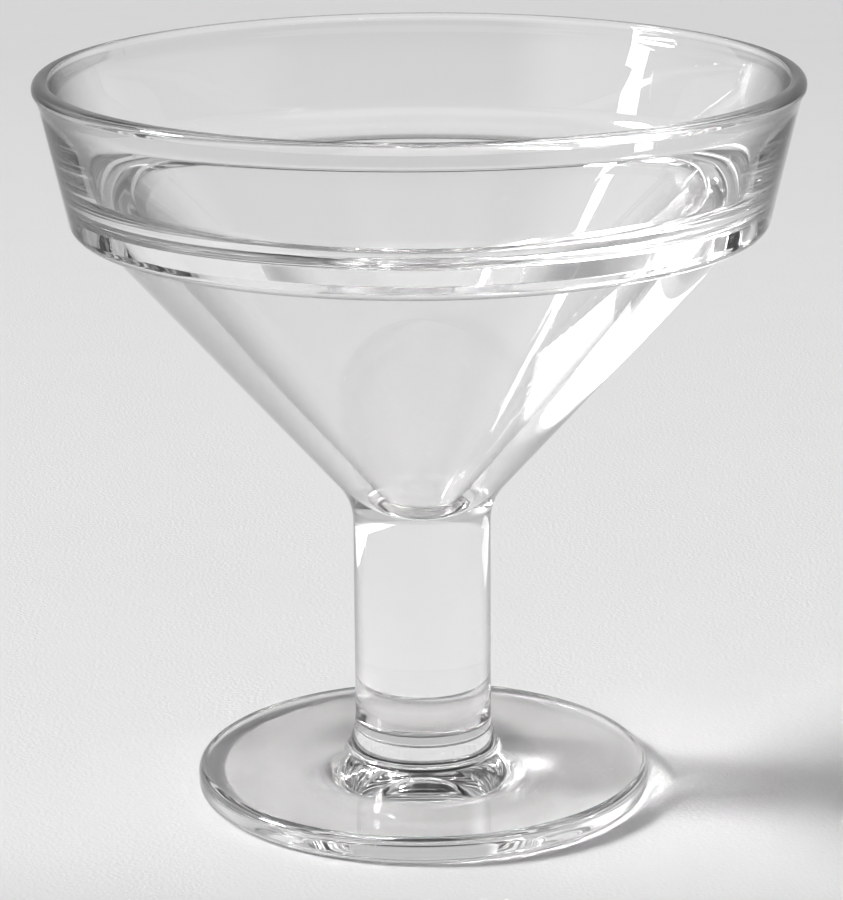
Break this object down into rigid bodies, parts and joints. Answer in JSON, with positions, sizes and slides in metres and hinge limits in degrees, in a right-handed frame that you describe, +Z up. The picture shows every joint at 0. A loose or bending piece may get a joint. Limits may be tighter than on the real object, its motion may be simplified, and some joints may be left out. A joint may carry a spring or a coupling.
{
  "type": "footed ice cream cup",
  "caption": "Heavy clear-glass footed cup: conical bowl with an upright beaded collar and an inside ledge, on a short solid stem and a flat round foot with a flared neck.",
  "frame": {"origin": "middle of the foot's flat underside, where the cup rests on the table", "axes": "+Z up along the cup's axis; the cup is round, so X and Y are free"},
  "size_m": [0.12, 0.12, 0.1175],
  "materials": {
    "glass": "clear polished pressed glass"
  },
  "bodies": {
    "root": {"bowl": "glass", "stem": "glass", "foot": "glass"}
  },
  "joints": []
}
